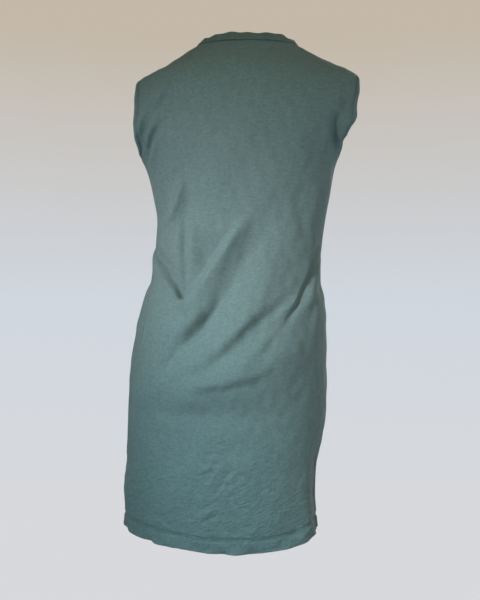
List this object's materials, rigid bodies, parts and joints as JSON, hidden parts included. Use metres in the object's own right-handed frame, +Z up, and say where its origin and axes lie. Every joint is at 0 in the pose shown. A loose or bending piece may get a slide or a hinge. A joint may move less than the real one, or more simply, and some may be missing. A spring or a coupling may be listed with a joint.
{
  "type": "sleeveless t-shirt dress",
  "caption": "Sleeveless straight jersey dress with a round neck band, side slits and a longer back hem, in its hollow worn form.",
  "frame": {"origin": "midway between the two points where the shoulder seams meet the neck band, where the wearer's shoulders hold the dress", "axes": "+Z up the body, -Y the front of the dress, +X the wearer's left"},
  "size_m": [0.4653, 0.2824, 0.9945],
  "materials": {
    "jersey": "matte",
    "band_jersey": "matte"
  },
  "bodies": {
    "root": {"back_panel": "jersey", "front_panel": "jersey", "neck_band": "band_jersey"}
  },
  "joints": []
}
